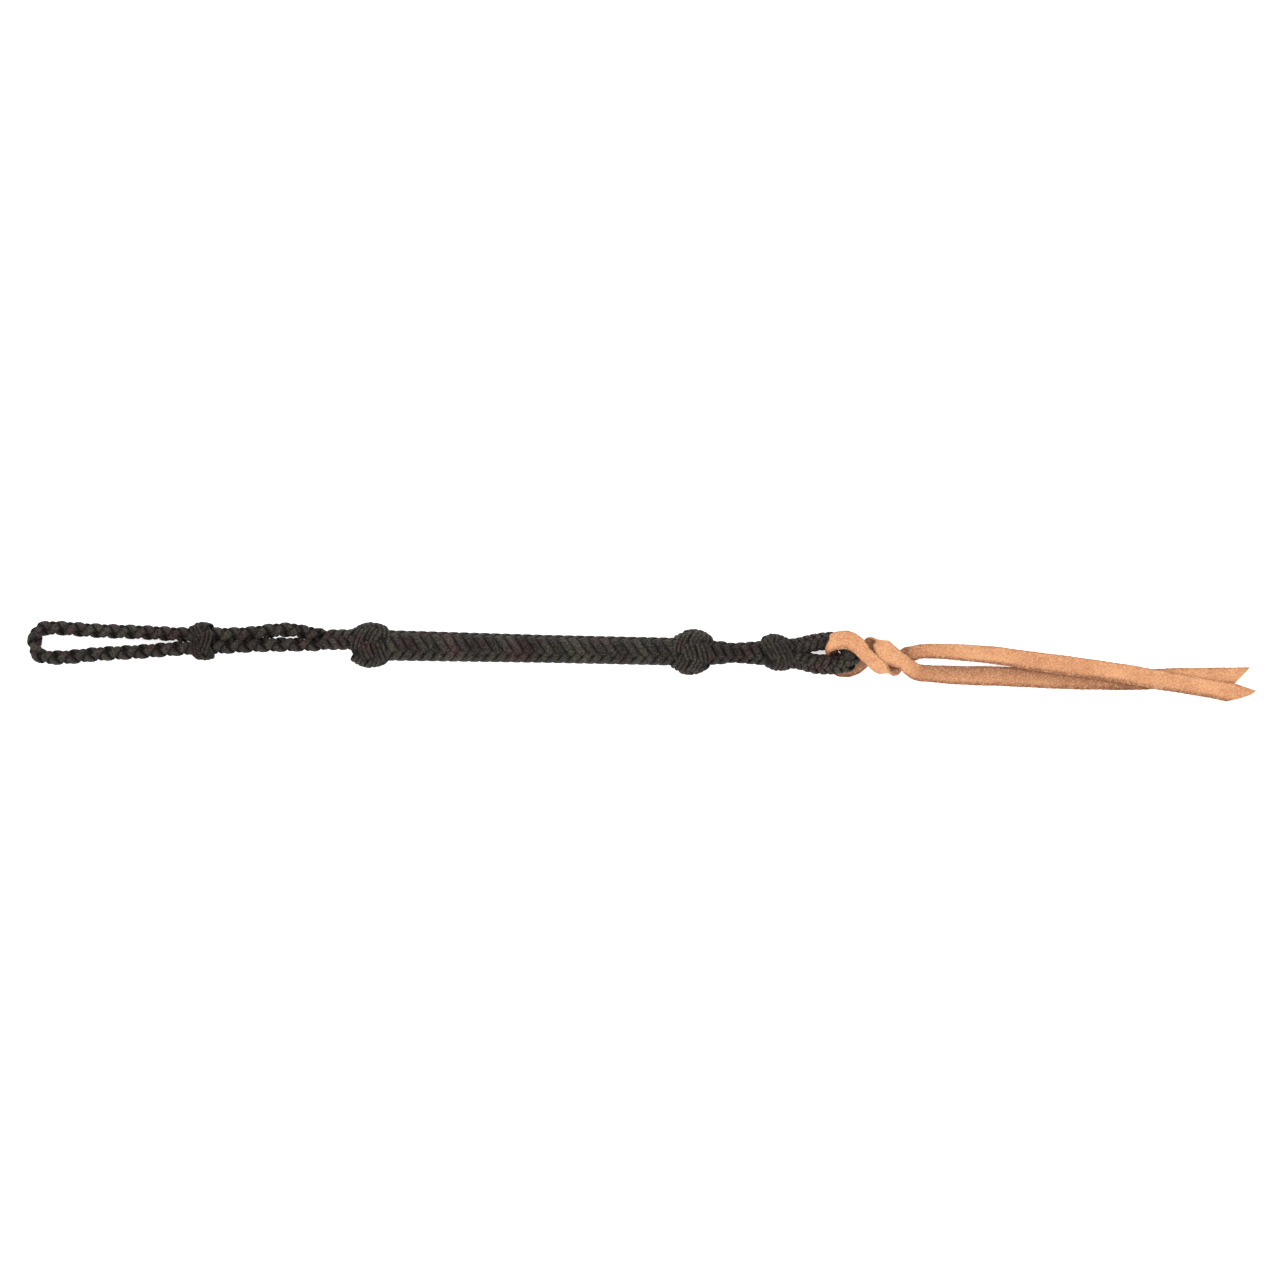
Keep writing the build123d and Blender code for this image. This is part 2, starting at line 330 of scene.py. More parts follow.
class Graph:
    """Short names for building a node tree."""

    def __init__(self, name):
        self.material = bpy.data.materials.new(name)
        self.material.use_nodes = True
        self.nodes, self.links = self.material.node_tree.nodes, self.material.node_tree.links
        self.nodes.clear()

    def put(self, socket, value):
        """Links the value to the socket if it is a socket of another node, and otherwise sets it."""
        if isinstance(value, bpy.types.NodeSocket):
            self.links.new(value, socket)
        else:
            socket.default_value = value

    def node(self, kind, inputs=None, **settings):
        n = self.nodes.new(kind)
        for key, value in settings.items():
            setattr(n, key, value)
        for key, value in (inputs or {}).items():
            self.put(n.inputs[key], value)
        return n

    def math(self, operation, a, b=0.0):
        return self.node("ShaderNodeMath", {0: a, 1: b}, operation=operation).outputs[0]

    def mix(self, factor, a, b, blend="MIX"):
        n = self.node("ShaderNodeMix", data_type="RGBA", blend_type=blend, clamp_factor=True)
        for index, value in ((0, factor), (6, a), (7, b)):
            self.put(n.inputs[index], value)
        return n.outputs[2]

    def noise(self, vector, scale, detail, roughness=0.55):
        inputs = {"Vector": vector, "Scale": scale, "Detail": detail, "Roughness": roughness}
        return self.node("ShaderNodeTexNoise", inputs).outputs["Fac"]

    def ramp(self, factor, low, high, to_low=0.0, to_high=1.0):
        return self.node(
            "ShaderNodeMapRange", {0: factor, 1: low, 2: high, 3: to_low, 4: to_high}, clamp=True
        ).outputs[0]

    def attribute(self, name):
        return self.node("ShaderNodeAttribute", attribute_name=name).outputs["Fac"]

    def position(self):
        return self.node("ShaderNodeTexCoord").outputs["Object"]

    def finish(self, normal=None, **sockets):
        shader = self.node("ShaderNodeBsdfPrincipled")
        for key, value in sockets.items():
            self.put(shader.inputs[key.replace("_", " ")], value)
        if normal is not None:
            self.links.new(normal, shader.inputs["Normal"])
        output = self.node("ShaderNodeOutputMaterial")
        self.links.new(shader.outputs[0], output.inputs[0])
        return self.material


RED_DRIFT, GREEN_DRIFT = (1.25, 0.84, 0.82), (0.98, 1.06, 0.84)
GROOVE_SHADE = 0.1  # how much of a strand's colour the painted groove shade leaves where it faces inward


def cord_material(name, dark, light, weave_mm):
    """Braided nylon cord: a fine diamond sheath along each strand, speckled, with a drift of colour, and with
    painted shade in the grooves between the strands."""
    g = Graph(name)
    uv = g.node("ShaderNodeUVMap", uv_map="cord").outputs["UV"]
    xy = g.node("ShaderNodeSeparateXYZ", {0: uv})
    u = g.math("MULTIPLY", xy.outputs[0], 1 / (weave_mm * MM))
    v = g.math("MULTIPLY", xy.outputs[1], 1 / (weave_mm * MM))
    a, b = g.math("ADD", u, v), g.math("SUBTRACT", u, v)
    ridge_a = g.math("ABSOLUTE", g.math("SINE", g.math("MULTIPLY", a, math.pi)))
    ridge_b = g.math("ABSOLUTE", g.math("SINE", g.math("MULTIPLY", b, math.pi)))
    cell = g.math("ADD", g.math("FLOOR", a), g.math("FLOOR", b))
    odd = g.math("MODULO", g.math("ABSOLUTE", cell), 2.0)
    even = g.math("SUBTRACT", 1.0, odd)
    weave = g.math("ADD", g.math("MULTIPLY", ridge_a, odd), g.math("MULTIPLY", ridge_b, even))
    place = g.position()
    speckle = g.noise(place, 780, 2, 0.7)
    fuzz = g.noise(place, 2600, 2)
    drift = g.noise(place, 38, 3)
    hue = g.noise(place, 75, 2)
    strand = g.attribute("strand")
    shade = g.math("ADD", g.math("MULTIPLY", weave, 0.22), g.math("MULTIPLY", speckle, 1.1))
    shade = g.math("ADD", shade, g.math("MULTIPLY", strand, 0.12))
    colour = g.mix(g.ramp(shade, 0.6, 0.98), rgba(dark), rgba(light))
    colour = g.mix(g.ramp(drift, 0.4, 0.7, 0, 0.45), colour, rgba(dark))
    colour = g.mix(g.ramp(hue, 0.5, 0.68), colour, rgba(RED_DRIFT), "MULTIPLY")
    colour = g.mix(g.ramp(hue, 0.5, 0.34), colour, rgba(GREEN_DRIFT), "MULTIPLY")
    # Painted shade: the colour darkens where a strand faces inward, into the grooves between the strands.
    groove = g.ramp(g.attribute("crest"), 0.15, 0.95, GROOVE_SHADE, 1.0)
    painted_groove_shade = g.node("ShaderNodeCombineColor", {0: groove, 1: groove, 2: groove}).outputs[0]
    colour = g.mix(1.0, colour, painted_groove_shade, "MULTIPLY")
    height = g.math("ADD", g.math("MULTIPLY", weave, 0.7), g.math("MULTIPLY", speckle, 1.1))
    height = g.math("ADD", height, g.math("MULTIPLY", fuzz, 0.4))
    bump = g.node("ShaderNodeBump", {"Strength": 0.95, "Distance": 0.45 * MM, "Height": height})
    rough = g.ramp(fuzz, 0.3, 0.7, 0.62, 0.82)
    return g.finish(bump.outputs[0], Base_Color=colour, Roughness=rough, Specular_IOR_Level=0.16)


SHADED_LEATHER, SPECK_DARK, SPECK_LIGHT = (0.185, 0.068, 0.034), (0.68, 0.57, 0.5), (0.72, 0.45, 0.27)


def leather_material(name, grain, deep, flesh, edge):
    """Natural leather: a smooth grain side with pores and darker clouds, a fuzzy flesh side, and a darker cut edge.
    The attribute side is 1 on the grain side, -1 on the flesh side and 0 at the edge, tone is how much painted shade
    the strap has, and low marks its edge on the side that the photo shows dark, where it gets patchy painted shade."""
    g = Graph(name)
    side, tone = g.attribute("side"), g.attribute("tone")
    place = g.position()
    cloud = g.noise(place, 48, 4)
    mottle = g.noise(place, 240, 4)
    pores = g.node("ShaderNodeTexVoronoi", {"Vector": place, "Scale": 1500.0}).outputs["Distance"]
    fibre = g.noise(place, 1900, 4, 0.7)
    uv = g.node("ShaderNodeUVMap", uv_map="cord").outputs["UV"]
    stretched = g.node("ShaderNodeVectorMath", {0: uv, 1: (60.0, 900.0, 1.0)}, operation="MULTIPLY").outputs[0]
    streak = g.noise(stretched, 1.0, 3)
    top = g.mix(g.ramp(cloud, 0.35, 0.7), rgba(grain), rgba(deep))
    top = g.mix(g.ramp(mottle, 0.45, 0.75, 0, 0.35), top, rgba(deep))
    top = g.mix(g.ramp(streak, 0.55, 0.8, 0, 0.25), top, rgba(edge))
    under = g.mix(g.ramp(fibre, 0.3, 0.75), rgba(flesh), rgba(flesh, 0.62))
    face = g.mix(g.ramp(side, -0.35, 0.35), under, top)
    rim = g.math("SUBTRACT", 1.0, g.math("ABSOLUTE", side))
    frayed = g.math("ADD", rim, g.math("MULTIPLY", g.math("SUBTRACT", mottle, 0.5), 0.9))
    line = g.math("MULTIPLY", g.ramp(frayed, 0.1, 0.5, 0, 0.6), g.ramp(rim, 0.93, 0.82, 0.2, 1))
    # Painted shade on the edge that lies towards -Y, patchy with the mottle.
    painted_low_edge_shade = g.math("MULTIPLY", g.attribute("low"), g.ramp(mottle, 0.3, 0.55, 0.5, 1.0))
    line = g.math("MAXIMUM", line, painted_low_edge_shade)
    # Painted shade: tone mixes the leather towards SHADED_LEATHER where the strap lies in shadow.
    face = g.mix(tone, face, rgba(SHADED_LEATHER))
    face = g.mix(line, face, rgba(edge))
    speckle = g.noise(place, 900, 3, 0.75)
    face = g.mix(g.ramp(speckle, 0.5, 0.62, 0, 0.65), face, rgba(SPECK_DARK), "MULTIPLY")
    face = g.mix(g.ramp(speckle, 0.48, 0.36, 0, 0.4), face, rgba(SPECK_LIGHT))
    height = g.math("ADD", g.math("MULTIPLY", pores, 0.5), g.math("MULTIPLY", fibre, 0.6))
    height = g.math("ADD", height, g.math("MULTIPLY", mottle, 0.8))
    bump = g.node("ShaderNodeBump", {"Strength": 0.6, "Distance": 0.35 * MM, "Height": height})
    rough = g.ramp(side, -0.3, 0.5, 0.88, 0.6)
    return g.finish(bump.outputs[0], Base_Color=face, Roughness=rough, Specular_IOR_Level=0.2)


def thread_material(name, colour, scale):
    """Wound thread or padding, seen only in the gaps between cords."""
    g = Graph(name)
    inputs = {"Vector": g.position(), "Scale": scale, "Distortion": 1.5, "Detail": 2.0}
    wave = g.node("ShaderNodeTexWave", inputs, bands_direction="X").outputs["Fac"]
    tone = g.mix(g.ramp(wave, 0.2, 0.9), rgba(colour, 0.5), rgba(colour))
    bump = g.node("ShaderNodeBump", {"Strength": 0.8, "Distance": 0.4 * MM, "Height": wave})
    return g.finish(bump.outputs[0], Base_Color=tone, Roughness=0.8, Specular_IOR_Level=0.16)


CORD_DARK = (0.0035, 0.0027, 0.0024)
black_cord = cord_material("black_cord", CORD_DARK, (0.082, 0.067, 0.058), weave_mm=1.15)
knot_cord = cord_material("knot_cord", CORD_DARK, (0.080, 0.065, 0.055), weave_mm=0.95)
leather = leather_material(
    "natural_leather", grain=(0.57, 0.28, 0.136), deep=(0.44, 0.19, 0.085), flesh=(0.43, 0.21, 0.12),
    edge=(0.17, 0.06, 0.026),
)
thread = thread_material("waxed_thread", (0.009, 0.008, 0.0075), 900.0)
padding = thread_material("wound_padding", (0.010, 0.0085, 0.0075), 700.0)
core_cord = thread_material("core_cord", (0.012, 0.0105, 0.0095), 500.0)


def finish_piece(piece, material, nodes=(), body=None, blend=None):
    """Gives the piece its material, hides the nodes that it replaces, and parents it to the body that it moves with,
    or else bakes its place into its mesh. blend, from one body to another between two places, is not used."""
    piece.data.materials.append(material)
    if nodes:
        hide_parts(*nodes)
    if body:
        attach(piece, body)
    else:
        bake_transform(piece)


# -------------------------------------------------------------------------------------------- wrist loop


def nurbs_route(points, name):
    """An evenly sampled smooth line: the NURBS curve of order 3 with these control points."""
    curve = bpy.data.curves.new(name, "CURVE")
    curve.dimensions = "3D"
    spline = curve.splines.new("NURBS")
    spline.points.add(len(points) - 1)
    for control, p in zip(spline.points, points):
        control.co = (*p, 1)
    spline.order_u = 3
    spline.use_endpoint_u = True
    spline.resolution_u = 48
    holder = placed(name, curve)
    bpy.context.view_layer.update()
    mesh = bpy.data.meshes.new_from_object(holder)
    line = np.array([v.co for v in mesh.vertices])
    bpy.data.objects.remove(holder)
    bpy.data.curves.remove(curve)
    bpy.data.meshes.remove(mesh)
    return evenly(line, SAMPLE)


# All places of the loop are in millimetres along it from its hinge.
ARMS_FROM, LOOP_FROM = -14.0, 8.0  # where the arms' strands start, and where the loop's own piece starts
NECK_FROM, NECK_TO, MERGE_TO = -33.0, -7.0, -3.0  # the neck's piece, and where its strands have joined the arms

# Places along the loop and sideways: the near arm out and the far arm back.
arm_out = [
    (ARMS_FROM, 2.4), (-8, 2.7), (0, 3.0), (12, 2.7), (22, 2.75), (36, 2.8), (50, 3.5), (66, 4.0), (80, 4.3),
    (92, 5.1), (108, 6.3), (134, 7.2), (155, 9.5), (170, 8.7), (172.6, 2.6),
]
arm_back = [
    (172.2, -4.4), (168.8, -9.4), (155, -9.2), (134, -7.2), (108, -6.2), (92, -5.1), (80, -4.3), (66, -4.0),
    (50, -3.9), (38, -4.2), (29, -5.4), (19, -6.6), (9, -6.3), (0, -4.2), (-8, -3.2), (ARMS_FROM, -2.6),
]
BEND_RISE = ([110, 165], [0, 0.45 * MM])  # the loop's far end is thicker and lies a little higher
loop_points = [loop_line.point(x * MM, y * MM, np.interp(x, *BEND_RISE)) for x, y in arm_out + arm_back]
loop_route = nurbs_route(loop_points, "loop_route")

ARM_RADIUS = 4.75 * MM
loop_strands = plait(
    loop_route, loop_line.up, strands=4, radius=ARM_RADIUS, pitch=21.6 * MM, width=5.1 * MM, thickness=3.2 * MM,
    lift=1.3 * MM, seam=0.35, first_turn=0.35 + math.pi / 4,
)
neck_route = loop_line.point(np.arange(NECK_FROM, MERGE_TO + 0.01, SAMPLE_MM) * MM)
neck_strands = plait(
    neck_route, loop_line.up, strands=8, radius=6.7 * MM, pitch=24.0 * MM, width=4.7 * MM, thickness=2.7 * MM,
    lift=1.3 * MM, seam=-0.3, first_turn=-0.3 + math.pi / 8,
)

shared = int(round((MERGE_TO - ARMS_FROM) / SAMPLE_MM)) + 1  # samples that the arms and the neck share
arms_keep = int(round((LOOP_FROM - ARMS_FROM) / SAMPLE_MM))
arm_starts = [
    (line[::way][:arms_keep + 1], outward[::way][:arms_keep + 1])
    for way in (1, -1) for line, outward, _, _ in loop_strands
]

# Each of the neck's strands runs on into the nearest free strand of an arm.
free = list(range(len(arm_starts)))
share = np.linspace(0, 1, shared)
share = (share * share * (3 - 2 * share))[:, None]
neck_to_loop = []
for neck_line, neck_out, width, thickness in neck_strands:
    middle = neck_line[-shared:][shared // 2]
    best = min(free, key=lambda k: np.linalg.norm(arm_starts[k][0][shared // 2] - middle))
    free.remove(best)
    arm_line, arm_out_way = arm_starts[best]
    both = (1 - share) * neck_line[-shared:] + share * arm_line[:shared]
    turned = unit((1 - share) * neck_out[-shared:] + share * arm_out_way[:shared])
    neck_to_loop.append((
        np.vstack([neck_line[:-shared], both, arm_line[shared:]]),
        np.vstack([neck_out[:-shared], turned, arm_out_way[shared:]]),
        width, thickness,
    ))

cut = int(round((NECK_TO - NECK_FROM) / SAMPLE_MM))
tones = 0.3 + 0.7 * rng.random(8)
neck_piece = joined("wrist_neck_plait", tubes_of(part_of(neck_to_loop, 0, cut + 1)), tones)
merge_piece = joined("wrist_merging_strands", tubes_of(part_of(neck_to_loop, cut)), tones)
loop_piece = joined(
    "wrist_loop_plait", tubes_of(part_of(loop_strands, arms_keep, -arms_keep)), 0.45 + 0.55 * rng.random(4)
)

finish_piece(
    neck_piece, black_cord, ["wrist_neck_braid"],
    blend=("handle", "wrist_neck", loop_line.point(-24 * MM), loop_line.point(-11 * MM)),
)
finish_piece(
    merge_piece, black_cord,
    blend=("wrist_neck", "wrist_loop", loop_line.point(-7 * MM), loop_line.point(7 * MM)),
)
finish_piece(loop_piece, black_cord, ["wrist_loop_braid"], body="wrist_loop")

# -------------------------------------------------------------------------------------- handle and knots

KNOT_OVERLAP = 6 * MM  # how far the handle's plait runs in under the knots
plait_x = np.arange(heel_high[0] - KNOT_OVERLAP, tip_low[0] + KNOT_OVERLAP, SAMPLE)
grip_swell = np.interp(plait_x, [-0.15, -0.06, 0.01], [0.75 * MM, 0.0, -0.05 * MM])
handle_strands = plait(
    handle.point(plait_x), handle.up, strands=12, radius=grip_radius + grip_swell, pitch=39.0 * MM,
    width=5.3 * MM, thickness=2.7 * MM, lift=1.45 * MM, seam=-0.42, first_turn=-0.42 + math.pi / 12,
)
handle_piece = joined("handle_plait", tubes_of(handle_strands))
finish_piece(handle_piece, black_cord, ["handle_braid"], body="handle")


def knot_piece(name, node, body, line, at, half, radii, width, thickness, **more):
    """A Turk's head in place of a CAD node. Its radii, cord width and cord thickness are in millimetres."""
    tubes = turks_head(
        line, at, half, [r * MM for r in radii], width=width * MM, thickness=thickness * MM, **more
    )
    finish_piece(joined(name, tubes), knot_cord, [node], body=body)


def middle_and_half(low, high):
    half = (high - low) / 2
    return low + half, half


def middle_along(line, low, high):
    return ((low + high) / 2 - line.start) @ line.along


knot_piece(
    "heel_knot_cords", "heel_knot", "handle", handle, *middle_and_half(heel_low[0], heel_high[0]),
    radii=(9.0, 14.5, 9.2), width=2.75, thickness=2.5, leads=5, bights=4, turn=0.5, slant=0.03,
)
knot_piece(
    "tip_knot_cords", "tip_knot", "handle", handle,
    *middle_and_half(tip_low[0] - 0.7 * MM, tip_high[0] + 1.4 * MM),
    radii=(9.8, 14.45, 7.8), width=2.7, thickness=2.5, leads=5, bights=4, turn=2.4, slant=0.08,
)
knot_piece(
    "keeper_cords", "keeper_knot", "keeper", loop_line, middle_along(loop_line, keeper_low, keeper_high), 8.1 * MM,
    radii=(8.8, 10.4, 8.8), width=2.3, thickness=2.1, leads=3, bights=4, turn=0.3, slant=-0.05, oval=(1.17, 0.84),
)

# ----------------------------------------------------------------------------------------------- lash end

lash_x = np.arange(tip_high[0] - 7 * MM, popper_low[0] + 8 * MM, SAMPLE) - lash.start[0]
lash_radius = np.interp(lash_x, [-0.004, 0.005, 0.014, 0.021], [0.0077, 0.0063, 0.0069, 0.0076])
lash_strands = plait(
    lash.point(lash_x), lash.up, strands=8, radius=lash_radius, pitch=24.0 * MM, width=4.8 * MM,
    thickness=2.6 * MM, lift=1.3 * MM, seam=-0.62, first_turn=-0.62 + math.pi / 8,
)
finish_piece(
    joined("lash_neck_plait", tubes_of(lash_strands)), black_cord, ["lash_neck_braid"],
    blend=("handle", "lash", lash.point(-7 * MM), lash.point(9 * MM)),
)

popper_knot_line = Line(lash.start + 0.45 * MM * lash.side, lash.along, lash.up)
knot_piece(
    "popper_knot_cords", "popper_knot", "lash", popper_knot_line, middle_along(lash, popper_low, popper_high),
    10.6 * MM, radii=(7.4, 11.9, 8.2), width=2.6, thickness=2.3, leads=4, bights=3, turn=1.2, slant=-0.2,
)

# Places along the lash from its hinge and sideways, in millimetres: out on one side and back on the other.
eye_out = [(35, 3.2), (45, 3.7), (54, 6.3), (62, 7.6), (70, 8.0), (78.8, 5.4)]
eye_back = [(78.8, -5.0), (73, -6.2), (66, -6.8), (57, -6.9), (47, -3.9), (35, -3.2)]
eye_points = [lash.point(x * MM, y * MM, 0) for x, y in eye_out + eye_back]
eye_route = nurbs_route(eye_points, "eye_route")
eye_share = np.linspace(0, 1, len(eye_route))
eye_radius = np.interp(eye_share, [0, 0.3, 0.5, 0.68, 0.85, 1], [5.5, 5.8, 6.4, 6.6, 6.2, 5.5]) * MM
eye_strands = plait(
    eye_route, lash.up, strands=8, radius=eye_radius, pitch=19.0 * MM, width=4.1 * MM, thickness=2.4 * MM,
    lift=1.15 * MM, seam=0.4, first_turn=0.4 + math.pi / 8,
)
eye_piece = joined("popper_eye_plait", tubes_of(eye_strands))
finish_piece(eye_piece, black_cord, ["popper_eye_braid"], body="lash")

# ------------------------------------------------------------------------------------------ leather popper

STRAP_WIDTH, STRAP_THICKNESS = 12.0 * MM, 2.3 * MM
STRAP_STEP_MM = 0.8

# The strap from the front tail's tip, over the eye, through it, under it and on to the back tail's tip.
# Each row, with lengths in millimetres: X, sideways from the handle's centre line, Z, the grain side's direction in
# three numbers, width, cup (the angle that the strap is curled through across its width, in radians), painted shade,
# and how much more painted shade it has at the edge on the left of the way to the back tail's tip.
front_rows = [
    (384, -20.6, 3.7, 0, 0, 1, 11.6, 0.25, 0.0, 0.0),
    (372, -18.7, 3.9, 0, 0, 1, 11.6, 0.25, 0.0, 0.0),
    (359, -16.4, 4.1, 0, 0.1, 1, 11.8, 0.25, 0.0, 0.0),
    (347, -14.6, 4.2, 0, 0.15, 1, 11.8, 0.25, 0.0, 0.0),
    (322, -10.9, 4.4, 0, 0.15, 1, 12.0, 0.3, 0.0, 0.0),
    (298, -7.2, 4.4, 0, 0.15, 1, 12.0, 0.3, 0.0, 0.0),
    (273, -4.2, 4.4, 0, 0.15, 1, 12.0, 0.3, 0.0, 0.0),
    (248, -1.4, 4.4, 0, 0.15, 1, 11.8, 0.35, 0.0, 0.0),
    (223, 1.8, 4.4, 0, 0.1, 1, 11.0, 0.5, 0.0, 0.05),
    (205, 3.1, 4.3, 0, 0.1, 1, 10.0, 0.8, 0.05, 0.1),
    (188, 3.8, 4.3, 0, 0.15, 1, 9.4, 1.0, 0.1, 0.15),
    (176, 3.6, 3.8, 0, 0.1, 1, 8.8, 0.9, 0.2, 0.2),
]
over_rows = [
    (170.6, 2.4, 3.2, 0, 0, 1, 9.4, 0.3, 0.45, -0.1),
    (165.8, 0.9, 3.2, 0.1, -0.1, 1, 9.8, -0.4, 0.95, 0.0),
    (162.8, -2.6, 4.0, 0.8, 0.1, 0.7, 9.2, -0.3, 0.95, 0.0),
    (160.2, -5.4, 5.2, 0.9, -0.2, -0.5, 9.6, -0.3, 0.85, 0.0),
    (158.0, -7.6, 6.2, 0.6, -0.6, -0.8, 11.0, -0.3, 0.6, 0.0),
    (155.4, -9.4, 6.5, 0.2, -0.9, -0.4, 11.0, 0.0, 0.0, 0.0),
    (152.2, -9.2, 7.3, -0.2, -0.9, 0.4, 10.4, 0.3, 0.0, 0.0),
    (148.2, -6.0, 8.8, -0.3, -0.4, 1, 9.6, 0.6, 0.0, 0.0),
]
fold_rows = [
    (143.6, -2.4, 11.4, -0.2, -0.2, 1, 8.8, 0.9, 0.0, 0.0),
    (139.3, 1.2, 14.0, 0.1, 0.1, 1, 9.0, 1.0, 0.0, 0.0),
    (135.2, 6.0, 15.4, 0.2, 0.25, 1, 10.8, 0.9, 0.0, 0.0),
    (128.6, 9.5, 16.2, 0.0, 0.2, 1, 11.6, 0.8, 0.0, 0.0),
    (121.2, 8.9, 16.3, -0.4, 0.15, 1, 11.2, 1.0, 0.0, 0.0),
    (116.2, 6.4, 14.0, -0.9, 0.3, 0.6, 10.6, 1.3, 0.0, 0.0),
    (116.0, 3.4, 9.4, -1, 0.1, 0, 9.2, 1.4, 0.1, 0.0),
    (119.2, 0.2, 4.4, -0.8, 0, -0.7, 9.8, 1.0, 0.1, 0.0),
    (123.6, -6.8, 2.0, -0.2, 0, -1, 11.4, 0.1, 0.0, 0.0),
    (129.6, -7.6, 1.6, 0, 0, -1, 12.0, 0.0, 0.0, 0.0),
    (134.6, -5.4, 2.0, 0.2, 0, -1, 12.2, 0.1, 0.0, 0.0),
    (138.2, -1.8, 3.2, 0.2, -0.1, -1, 12.2, 0.2, 0.1, 0.0),
]
under_rows = [
    (141.4, 2.8, 4.0, 0.1, 0.0, -1, 12.2, 0.2, 0.55, 0.0),
    (144.8, 6.8, 4.8, 0.0, 0.4, -1, 12.2, 0.2, 0.55, 0.0),
    (149.0, 9.2, 6.5, 0.05, 1.0, 0.0, 11.4, 0.3, 0.1, 0.0),
    (150.8, 5.9, 8.6, 0.1, 0.5, 1, 12.4, 0.6, 0.0, 0.0),
    (153.6, 1.9, 9.8, 0.1, 0.2, 1, 13.2, 0.7, 0.0, 0.1),
    (158.6, -1.0, 10.1, 0.1, 0.1, 1, 11.2, 0.8, 0.0, 0.1),
    (164.0, -3.8, 9.6, 0.1, 0.1, 1, 9.4, 1.0, 0.0, 0.1),
    (168.2, -7.2, 8.7, 0, 0.1, 1, 9.8, 1.0, 0.05, 0.1),
]
back_rows = [
    (172.8, -9.6, 7.8, 0, 0, 1, 10.2, 1.0, 0.2, 0.2),
    (180, -10.2, 6.8, 0, 0, 1, 10.6, 0.9, 0.4, 0.4),
    (200, -10.9, 4.2, 0, 0, 1, 11.4, 0.8, 0.45, 0.45),
    (223, -11.0, 2.6, 0, 0, 1, 12.0, 0.6, 0.45, 0.45),
    (248, -11.5, 2.2, 0, 0, 1, 12.4, 0.5, 0.5, 0.4),
    (285, -11.9, 1.9, 0, 0, 1, 12.4, 0.3, 0.7, 0.2),
    (308, -11.6, 1.8, 0, 0, 1, 12.2, 0.25, 0.8, 0.1),
    (330, -9.8, 1.75, 0, 0, 1, 12.2, 0.25, 0.15, 0.0),
    (360, -8.4, 1.7, 0, 0, 1, 11.6, 0.25, 0.05, 0.0),
    (382, -7.8, 1.7, 0, 0, 1, 11.4, 0.25, 0.0, 0.0),
]


WANDER = ((0.18, 9.0), (0.14, 3.3), (0.16, 0.7))  # of the strap's width: sizes and lengths of waves, in millimetres


def strap_stations(rows):
    """Evenly spaced stations along the strap, in metres, with a smooth wander in its width."""
    table = np.array(rows, float)
    table[:, 1] += handle.start[1] / MM
    stations = line_through(table, STRAP_STEP_MM)
    along = distances(stations)
    stations[:, 6] += sum(size * np.sin(along / length + rng.uniform(0, 6.28)) for size, length in WANDER)
    stations[:, [0, 1, 2, 6]] *= MM
    return stations


# Points across the strap from one edge (-1) to the other, and its thickness there as a share of the whole one.
ACROSS = np.concatenate([[-1, -0.975, -0.93], np.linspace(-0.84, 0.84, 13), [0.93, 0.975, 1]])
EDGE = np.interp(np.abs(ACROSS), [0.93, 0.975, 1.0], [1.0, 0.9, 0.55])
GRAIN = np.interp(np.abs(ACROSS), [0.66, 0.86, 0.95, 1.0], [1.0, 0.75, 0.42, 0.06])
LOW_EDGE = ([0.5, 0.78, 0.93, 1.0], [0.0, 0.85, 0.95, 0.2])  # from how far a point lies towards -Y to how much painted shade it gets
TIP_RUN = 34 * MM  # the length at a tail's end over which its cut shape takes hold
LEAST_BEND = 1e-3  # radians per metre, in place of none on a flat row


